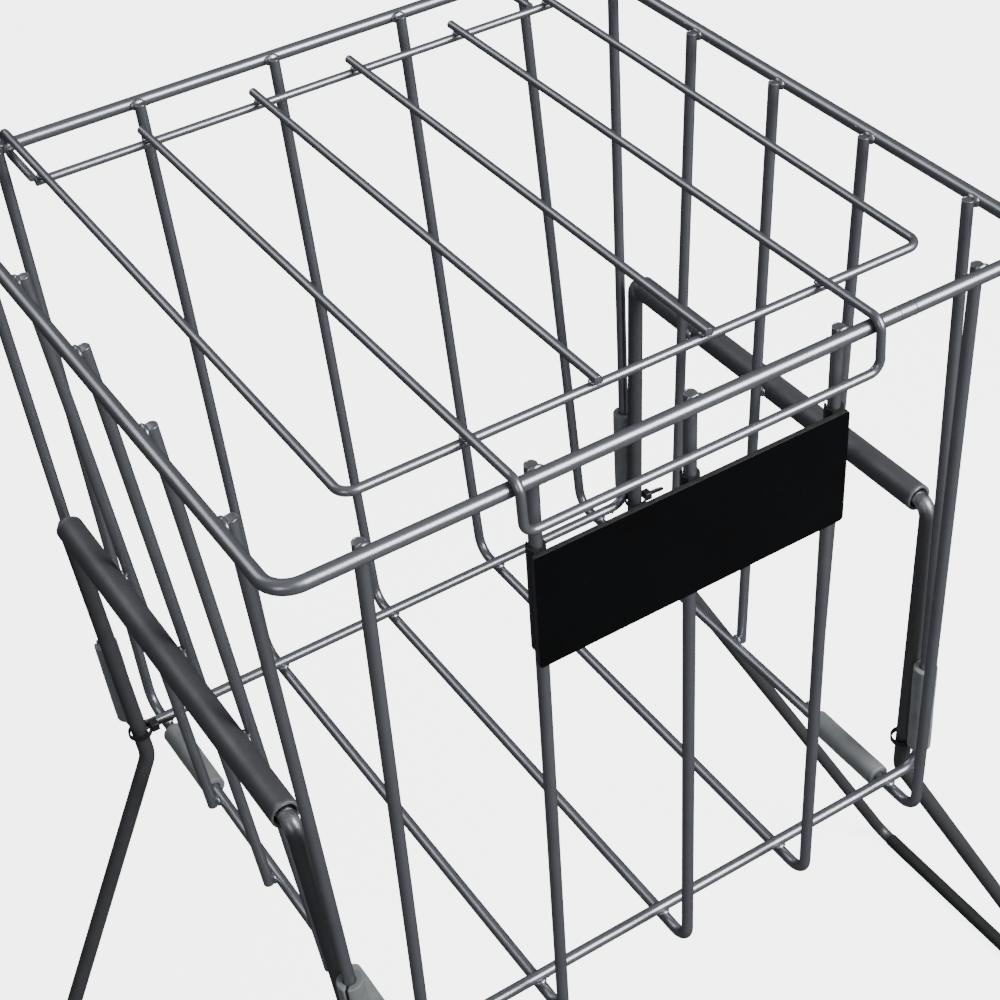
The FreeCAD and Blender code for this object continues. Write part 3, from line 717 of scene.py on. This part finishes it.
def basketEnds():
    # Tops of the uprights and posts, then both ends of the side wires, square to each wire's lean.
    ends = []
    for names, lean, way in ((hoops, hoopSet["frontLean"], 1), (crossHoops, hoopSet["postLean"], 0)):
        for name in names:
            low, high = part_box(name)
            radius = (high[1 - way] - low[1 - way]) / 2
            for edge, side in ((low[way] + radius, -1), (high[way] - radius, 1)):
                top = middleOf(name)
                top[way], top.z = edge, high.z
                tilt = leaning(lean, (across, ahead)[way] * side)
                ends.append(endAt(top - tilt * radius * lean, tilt, radius))
    lean = hoopSet["sideLean"]
    for word, side in leftRight:
        for number in range(1, 4):
            low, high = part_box(f"side_wire_{word}_{number}")
            radius, middle = (high.y - low.y) / 2, (low.y + high.y) / 2
            outer, inner = (low.x, high.x) if side < 0 else (high.x, low.x)
            inset, rise = side * radius * math.cos(lean), radius * math.sin(lean)
            tilt = leaning(lean, across * side)
            ends.append(endAt((outer - inset, middle, high.z - rise), tilt, radius))
            ends.append(endAt((inner + inset, middle, low.z + rise), -tilt, radius))
    return ends


def lidEnds():
    ends = []
    rodLow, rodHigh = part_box("lid_back_rod")
    rod, radius = middleOf("lid_back_rod"), (rodHigh.z - rodLow.z) / 2
    for place, side in ((rodLow.x, -1), (rodHigh.x, 1)):
        ends.append(endAt((place, rod.y, rod.z), across * side, radius))
    for name in ("lid_bar_left", "lid_bar_right"):
        low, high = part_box(name)
        for place, side, level in ((low.y, -1, high.z - radius), (high.y, 1, low.z + radius)):
            ends.append(endAt((middleOf(name).x, place, level), ahead * side, radius))
    loopLow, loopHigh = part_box("latch_loop")
    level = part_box("lid_bar_left")[0].z + radius
    for place in (loopLow.x + radius, loopHigh.x - radius):
        ends.append(endAt((place, loopHigh.y, level), ahead, radius))
    return ends


# Tubes with rounded lips: pivot tubes, split sleeves and foot sleeves

tubeSet = {
    # outer and bore radius, slit, lip rounding, waviness of the wall, rings of corners along it
    "pivot": {"outer": 0.0061, "bore": 0.0048, "slit": 0, "lip": 0.00035, "wave": 0.0, "rings": 12},
    "split": {"outer": 0.0055, "bore": 0.00255, "slit": 0.0011, "lip": 0.0006, "wave": 0.00014, "rings": 40},
    "foot": {"outer": 0.0043, "bore": 0.00385, "slit": 0, "lip": 0.0002, "wave": 0.00006, "rings": 120},
    "lengths": {"post": 0.048, "run": 0.046},
    "steps": 56,
    "lipSteps": 4,
    # waves of the wall along a metre and round the tube, and how far they are sunk
    "waves": 90,
    "wavesRound": 0.7,
    "waveSink": 0.35,
    # corners of a slit in shares of its lip: half opening of the bore, shoulder in and aside, inner lip up
    "boreOpen": 0.5,
    "shoulder": (0.25, 0.3),
    "innerLip": 0.6,
}


def sectionOf(kind, inset, swell):
    # outline of a tube's wall, as a list of (outer, inner) pairs round it, from slit to slit
    size, steps = tubeSet[kind], tubeSet["steps"]
    outer, bore = size["outer"] - inset, size["bore"] + inset
    pairs = []
    if not size["slit"]:
        for step in range(steps):
            angle = math.tau * step / steps
            pairs.append([(outer + swell(angle), angle), (bore, angle)])
        return pairs
    half, lip = size["slit"] / 2 + inset, size["lip"]
    first = math.asin((half + lip) / outer)
    last = math.asin((half + lip * tubeSet["boreOpen"]) / bore)
    for step in range(steps + 1):
        share = step / steps
        outerAngle = first + (math.tau - 2 * first) * share
        innerAngle = last + (math.tau - 2 * last) * share
        pairs.append([(outer + swell(outerAngle), outerAngle), (bore, innerAngle)])
    (shoulderIn, shoulderAside), innerLip = tubeSet["shoulder"], lip * tubeSet["innerLip"]
    for end, sign in ((0, 1), (-1, -1)):
        (outerRadius, _), (innerRadius, _) = pairs[end]
        pairs[end] += [
            (outerRadius - lip * shoulderIn, sign * math.asin((half + lip * shoulderAside) / outer)),
            (outerRadius - lip, sign * math.asin(half / (outer - lip))),
            (innerRadius + innerLip, sign * math.asin(half / (bore + innerLip)))]
    return pairs


def addTube(shape, kind, foot, top, slitWay, sole=None):
    # one tube from foot to top in the bmesh; sole is a level that the wall is pressed flat at
    size, lipSteps = tubeSet[kind], tubeSet["lipSteps"]
    axis = (top - foot).normalized()
    first = (slitWay - axis * slitWay.dot(axis)).normalized()
    second = axis.cross(first)
    length, lip = (top - foot).length, size["lip"]
    # each level is how far up the tube a ring is, and how far the lip draws it in
    levels = []
    for step in range(lipSteps):
        angle = math.pi / 2 * step / lipSteps
        levels.append((lip * (1 - math.cos(angle)), lip * (1 - math.sin(angle))))
    levels += [(lip + (length - 2 * lip) * step / size["rings"], 0) for step in range(size["rings"] + 1)]
    levels += [(length - low, inset) for low, inset in reversed(levels[:lipSteps])]

    def wayOut(angle):
        return first * math.cos(angle) + second * math.sin(angle)

    def cornerAt(radius, angle, level):
        spot = foot + axis * level + wayOut(angle) * radius
        if sole is not None:
            spot.z = max(spot.z, sole)
        return shape.verts.new(spot)

    def swellAt(angle, level):
        if not size["wave"]:
            return 0
        spot = (foot + axis * level) * tubeSet["waves"] + wayOut(angle) * tubeSet["wavesRound"]
        return size["wave"] * (noise.noise(spot) - tubeSet["waveSink"])

    rows = []
    for level, inset in levels:
        section = sectionOf(kind, inset, lambda angle: swellAt(angle, level))
        rows.append([[cornerAt(radius, angle, level) for radius, angle in pair] for pair in section])
    count, closed = len(rows[0]), not size["slit"]
    spans = [(here, (here + 1) % count) for here in range(count if closed else count - 1)]
    slitEnds = () if closed else (0, -1)
    for low, high in zip(rows, rows[1:]):
        for here, there in spans:
            for side in (0, 1):
                shape.faces.new([low[here][side], low[there][side], high[there][side], high[here][side]])
        for end in slitEnds:
            lowEdge = [low[end][0], *low[end][2:], low[end][1]]
            highEdge = [high[end][0], *high[end][2:], high[end][1]]
            for corners in zip(lowEdge, lowEdge[1:], highEdge[1:], highEdge):
                shape.faces.new(corners)
    for row in (rows[0], rows[-1]):
        for here, there in spans:
            shape.faces.new([row[here][0], row[there][0], row[there][1], row[here][1]])
        for end in slitEnds:
            shape.faces.new([row[end][0], *row[end][2:], row[end][1]])


def meshOf(shape, sharp=None):
    bmesh.ops.recalc_face_normals(shape, faces=shape.faces)
    for face in shape.faces:
        face.smooth = True
    mesh = bpy.data.meshes.new("piece")
    shape.to_mesh(mesh)
    shape.free()
    if sharp:
        mesh.set_sharp_from_angle(angle=math.radians(sharp))
    return mesh


def addLevelTube(shape, kind, name, level, sole=None):
    # a tube along Y that is as long as its node
    low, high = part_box(name)
    foot, top = (Vector((middleOf(name).x, place, level)) for place in (low.y, high.y))
    addTube(shape, kind, foot, top, upright, sole)


def addTubes(finishes):
    for word, _ in leftRight:
        shape, name = bmesh.new(), f"pivot_tube_{word}"
        addLevelTube(shape, "pivot", name, middleOf(name).z)
        keep(f"pivotTube{word.title()}", meshOf(shape), "basket", [finishes["tube"]], [name])
    for kind, length in tubeSet["lengths"].items():
        shape, names = bmesh.new(), []
        for word, side in leftRight:
            for endWord, end in frontBack:
                name = f"{kind}_sleeve_{word}_{endWord}"
                names.append(name)
                centre = middleOf(name)
                if kind == "post":
                    axis, slitWay = leaning(hoopSet["postLean"], across * side), Vector((side, end, 0))
                else:
                    axis, slitWay = ahead, -upright
                    centre.x = middleOf(hoops[0] if side < 0 else hoops[-1]).x
                    centre.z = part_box(name)[1].z - tubeSet["split"]["outer"]
                addTube(shape, "split", centre - axis * length / 2, centre + axis * length / 2, slitWay)
        keep(f"{kind}Sleeves", meshOf(shape), "basket", [finishes[kind]], names)
    for word, _ in leftRight:
        shape, name = bmesh.new(), f"foot_sleeve_{word}"
        addLevelTube(shape, "foot", name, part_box(name)[1].z - tubeSet["foot"]["outer"], sole=0.0)
        keep(f"footSleeve{word.title()}", meshOf(shape), f"leg_{word}", [finishes["foot"]],
             [name])


# Cable ties

tieSet = {
    # loop and strap: the strap's edges are rounded, through a point at this share of the rounding
    "inner": 0.0048, "wall": 0.0009, "strap": 0.0026, "round": 0.00022, "roundShare": 0.3, "steps": 96,
    # teeth, each four steps long with two of them deep
    "teeth": 15, "toothSteps": 4, "toothWide": 2, "toothDepth": 0.00016,
    "head": (0.004, 0.0052, 0.0044), "headStart": 0.00525, "mouth": 0.0009, "mouthDepth": 0.0007,
    "headRound": 0.0006, "headSteps": 3, "headProfile": 0.6,
    # the head's mouth is in the face that lies further out than this share of its depth
    "mouthFace": 0.4,
    # tail: shares of its half width and half thickness where its edges and teeth end
    "tail": 0.009, "droop": 0.00085, "tip": 0.0022, "tipNarrow": 0.42,
    "edgeTall": 0.86, "edgeDeep": 0.7, "toothTall": 0.6,
    # degrees over which an edge is sharp
    "sharp": 35,
}


def toothAt(step):
    return tieSet["toothDepth"] if step % tieSet["toothSteps"] < tieSet["toothWide"] else 0


def mirrored(outline):
    return outline + [(out, -up) for out, up in reversed(outline)]


def joinRings(shape, rings):
    for low, high in zip(rings, rings[1:]):
        for here in range(len(low)):
            there = (here + 1) % len(low)
            shape.faces.new([low[here], low[there], high[there], high[here]])


def addTie(shape, centre):
    size = tieSet
    inner, wall, half, soft = size["inner"], size["wall"], size["strap"] / 2, size["round"]
    nick = soft * size["roundShare"]
    outline = mirrored([(0, half - soft), (nick, half - nick), (soft, half),
                        (wall - soft, half), (wall - nick, half - nick), (wall, half - soft)])
    rings = []
    for step in range(size["steps"]):
        angle, tooth = math.tau * step / size["steps"], toothAt(step)
        ring = []
        for out, up in outline:
            reach = inner + (out + tooth if out < wall / 2 else out)
            spot = Vector((math.cos(angle) * reach, math.sin(angle) * reach, up))
            ring.append(shape.verts.new(centre + spot))
        rings.append(ring)
    joinRings(shape, rings + rings[:1])
    addTieHead(shape, centre)
    addTieTail(shape, centre)


def addTieHead(shape, centre):
    size = tieSet
    deep, wide, tall = size["head"]
    place = centre + Vector((size["headStart"] + deep / 2, 0, 0))
    frameOf = Matrix.Translation(place) @ Matrix.Diagonal((deep, wide, tall, 1))
    block = bmesh.ops.create_cube(shape, size=1, matrix=frameOf)["verts"]
    front = next(face for face in shape.faces if all(vert in block for vert in face.verts)
                 and face.calc_center_median().x > place.x + deep * size["mouthFace"])
    edges = list(dict.fromkeys(edge for vert in block for edge in vert.link_edges))
    bmesh.ops.inset_individual(shape, faces=[front], thickness=size["mouth"], depth=0)
    mouth = bmesh.ops.extrude_face_region(shape, geom=[front])
    floor = [item for item in mouth["geom"] if isinstance(item, bmesh.types.BMVert)]
    bmesh.ops.translate(shape, verts=floor, vec=(-size["mouthDepth"], 0, 0))
    bmesh.ops.delete(shape, geom=[front], context="FACES_ONLY")
    bmesh.ops.bevel(shape, geom=[edge for edge in edges if edge.is_valid], offset=size["headRound"],
                    segments=size["headSteps"], profile=size["headProfile"], affect="EDGES")


def addTieTail(shape, centre):
    size = tieSet
    start = size["inner"] + size["head"][0] - size["mouthDepth"]
    length, half, wall = size["tail"] + size["mouthDepth"], size["strap"] / 2, size["wall"] / 2
    deep = wall * size["edgeDeep"]
    rings = []
    count = size["teeth"] * size["toothSteps"]
    for step in range(count + 1):
        share = step / count
        tip = max(0, (share * length - length + size["tip"]) / size["tip"])
        narrow = half * (1 - size["tipNarrow"] * tip)
        tall, drop = narrow * size["edgeTall"], size["droop"] * share ** 2
        outline = mirrored([(-wall, tall), (-deep, narrow), (deep, narrow), (wall, tall),
                            (wall - toothAt(step), narrow * size["toothTall"])])
        rings.append([shape.verts.new(centre + Vector((start + share * length, out, up - drop)))
                      for out, up in outline])
    joinRings(shape, rings)
    for ring in (rings[0], rings[-1]):
        shape.faces.new(ring)


def addTies(material):
    for word, _ in leftRight:
        shape, names = bmesh.new(), []
        for endWord, _ in frontBack:
            name = f"cable_tie_{word}_{endWord}"
            names.append(name)
            centre = middleOf(name)
            centre.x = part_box(name)[0].x + tieSet["inner"] + tieSet["wall"]
            addTie(shape, centre)
        keep(f"cableTies{word.title()}", meshOf(shape, tieSet["sharp"]), f"leg_{word}",
             [material], names)


# Front plate

plateSet = {
    "thickness": 0.002,
    "corner": 0.0012,
    "cornerSteps": 6,
    "edge": 0.0003,
    "edgeSteps": 3,
    # the front and back turn more than this to Y, and faces under this area are shaded smooth
    "faceTurn": 0.35,
    "smoothUnder": 0.001,
    # black laminate with a little peel and a few hairline scuffs
    "face": {"blacks": ((0.0015, 0.0015, 0.0018), (0.003, 0.003, 0.0033)), "scuffed": (0.05, 0.05, 0.052),
             "cloud": {"scale": 45.0, "detail": 3.0}, "rough": (0.26, 0.34), "scuffRough": 0.3,
             "scuffScale": 40.0, "scuffAmount": 0.15, "shine": 0.1,
             "rippleScale": 350.0, "strength": 0.4, "depth": 0.00002},
    # its cut edge, paler: the core's own tone and a painted highlight of light on the edge, with fine saw
    # lines
    "coreAndHighlight": {"blacks": ((0.012, 0.012, 0.013), (0.04, 0.041, 0.043)), "stretch": (1.0, 0.08, 1.0),
             "sawScale": 1800.0, "rough": (0.45, 0.6), "strength": 0.6, "depth": 0.00005},
}


def addPlate(face, coreAndHighlight):
    size, lean = plateSet, hoopSet["frontLean"]
    thick, corner, steps = size["thickness"], size["corner"], size["cornerSteps"]
    low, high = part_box("front_plate")
    wide = (high.x - low.x) / 2
    tall = (high.z - low.z - thick * math.sin(lean)) / math.cos(lean)
    shape = bmesh.new()
    outline = []
    for edgeX, edgeZ, turn in ((wide, 0, 0), (-wide, 0, 1), (-wide, -tall, 2), (wide, -tall, 3)):
        centre = Vector((edgeX - math.copysign(corner, edgeX), 0, edgeZ + (corner if edgeZ else -corner)))
        for step in range(steps + 1):
            angle = math.pi / 2 * (turn + step / steps)
            outline.append(centre + Vector((math.cos(angle), 0, math.sin(angle))) * corner)
    front = [shape.verts.new(spot - ahead * thick) for spot in outline]
    back = [shape.verts.new(spot) for spot in outline]
    sheets = [shape.faces.new(front), shape.faces.new(list(reversed(back)))]
    rims = [edge for sheet in sheets for edge in sheet.edges]
    for here in range(len(front)):
        there = (here + 1) % len(front)
        shape.faces.new([front[here], back[here], back[there], front[there]])
    bmesh.ops.bevel(shape, geom=rims, offset=size["edge"], segments=size["edgeSteps"], profile=0.5,
                    affect="EDGES")
    bmesh.ops.recalc_face_normals(shape, faces=shape.faces)
    for side in shape.faces:
        # the edge faces take the paler finish, which carries a painted highlight
        side.material_index = 0 if abs(side.normal.y) > size["faceTurn"] else 1
        side.smooth = side.calc_area() < size["smoothUnder"]
    top = Vector((0, low.y + thick * math.cos(lean), high.z))
    turned = Matrix.Translation(top) @ Matrix.Rotation(lean, 4, "X")
    bmesh.ops.transform(shape, verts=shape.verts, matrix=turned)
    mesh = bpy.data.meshes.new("frontPlate")
    shape.to_mesh(mesh)
    shape.free()
    keep("frontPlate", mesh, "basket", [face, coreAndHighlight], ["front_plate"])


def plateFace():
    look = plateSet["face"]
    material, tree, shader, place = startMaterial("plateFace")
    cloud = noiseOf(tree, place, **look["cloud"])
    mark = useGroup(tree, scuffs, Place=place, Scale=look["scuffScale"],
                    Amount=look["scuffAmount"]).outputs["Mark"]
    rough = sums(tree, "ADD", spread(tree, cloud, *noiseBand, *look["rough"]),
                 sums(tree, "MULTIPLY", mark, look["scuffRough"]))
    black = blendColours(tree, cloud, *look["blacks"])
    feed(tree, shader, Base_Color=blendColours(tree, mark, black, look["scuffed"]), Roughness=rough,
         Specular_IOR_Level=look["shine"])
    addBump(tree, shader, noiseOf(tree, place, look["rippleScale"]), look["strength"], look["depth"])
    return material


def plateCoreAndHighlight():
    # The paler edge: the core's tone and a painted highlight of light catching the edge.
    look = plateSet["coreAndHighlight"]
    material, tree, shader, place = startMaterial("plateCoreAndHighlight")
    saw = noiseOf(tree, stretched(tree, place, look["stretch"]), look["sawScale"])
    feed(tree, shader, Base_Color=blendColours(tree, saw, *look["blacks"]),
         Roughness=spread(tree, saw, *noiseBand, *look["rough"]))
    addBump(tree, shader, saw, look["strength"], look["depth"])
    return material


addCamera()
addStudio()
print("studio ready")

silverCoat = sprayedMaterial("silverCoat")
dress(wireNodes, silverCoat)
# the leg rods get a painted highlight on bare-steel wear where they leave the tubes
dress(legNodes, sprayedMaterial("legCoat", rubHighlightPlaces(wearSet["rodRubHighlight"])))
dress(clipNodes, mouldedMaterial("clipPlastic"))
tubeFinishes = {
    # the tubes get a painted highlight on bare-steel wear at their mouths
    "tube": sprayedMaterial("tubeCoat", rubHighlightPlaces(wearSet["tubeRubHighlight"])),
    "post": vinylMaterial("postVinyl", "greyVinyl", "z"),
    "run": vinylMaterial("runVinyl", "greyVinyl", "y"),
    "foot": vinylMaterial("footVinyl", "darkVinyl", "y"),
}
print("finishes ready")

addTubes(tubeFinishes)
addTies(mouldedMaterial("tieNylon"))
addPlate(plateFace(), plateCoreAndHighlight())
print("tubes, sleeves, ties and plate on")

weldCoat = sprayedMaterial("weldCoat")
nuggets, cutEnds = nuggetTree(), cutEndTree()
welds = basketWelds()
for name, spots, finish, body in (("weldsBasket", welds + spatterNear(welds), weldCoat, "basket"),
                                  ("rimSeam", rimSeam(), silverCoat, "basket"),
                                  ("weldsLid", lidWelds(), weldCoat, "lid")):
    lumpHeight, seed = weldSet["lumps"][name]
    grown = growOn(name, spots, nuggets, Finish=finish, Lump_Height=lumpHeight, Seed=seed)
    keep(name, grown, body)
for name, spots, body in (("cutEndsBasket", basketEnds(), "basket"), ("cutEndsLid", lidEnds(), "lid")):
    keep(name, growOn(name, spots, cutEnds, Finish=silverCoat), body)
print("welds and cut ends on")
